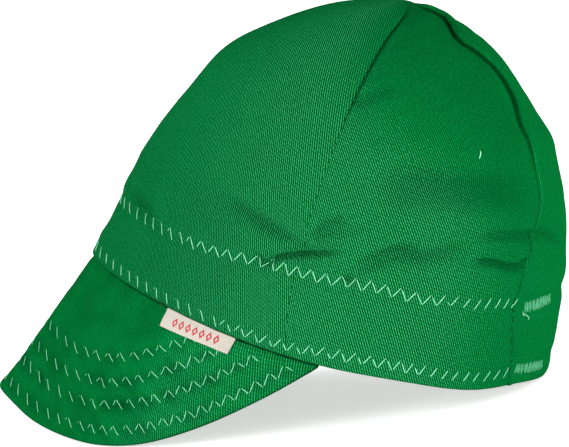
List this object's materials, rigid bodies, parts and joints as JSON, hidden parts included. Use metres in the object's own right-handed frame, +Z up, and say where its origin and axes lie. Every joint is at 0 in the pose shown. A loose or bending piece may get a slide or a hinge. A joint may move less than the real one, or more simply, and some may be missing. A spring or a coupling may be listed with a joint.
{
  "type": "welding cap",
  "caption": "Soft cotton welding cap: four-panel domed crown, sewn-in sweatband, short quilted brim with a centre crease, and a small blank side label.",
  "frame": {"origin": "centre of the bounding box at its bottom: on the ground, midway between the brim's tip and the back of the crown", "axes": "+Z up from the ground the cap rests on, +X forward towards the brim's tip, +Y to the wearer's left, the side with the label"},
  "size_m": [0.2802, 0.1682, 0.1716],
  "materials": {
    "crown_twill": "matte cotton twill, green, with a fine diagonal weave, soft folds and slightly lighter raised cloth",
    "brim_twill": "matte quilted cotton twill, green, puffed between four rows of zigzag stitching",
    "sweatband_cloth": "matte plain cotton, slightly darker green, sewn to the crown by two rows of zigzag stitching",
    "label_cloth": "matte woven ribbon, off-white, with a plain woven pattern",
    "thread": "matte polyester-cotton sewing thread, pale green, in zigzag rows and bar tacks"
  },
  "bodies": {
    "root": {"crown_panel_front_left": "crown_twill", "crown_panel_front_right": "crown_twill", "crown_panel_rear_left": "crown_twill", "crown_panel_rear_right": "crown_twill", "sweatband": "sweatband_cloth", "brim": "brim_twill", "label": "label_cloth"}
  },
  "joints": []
}
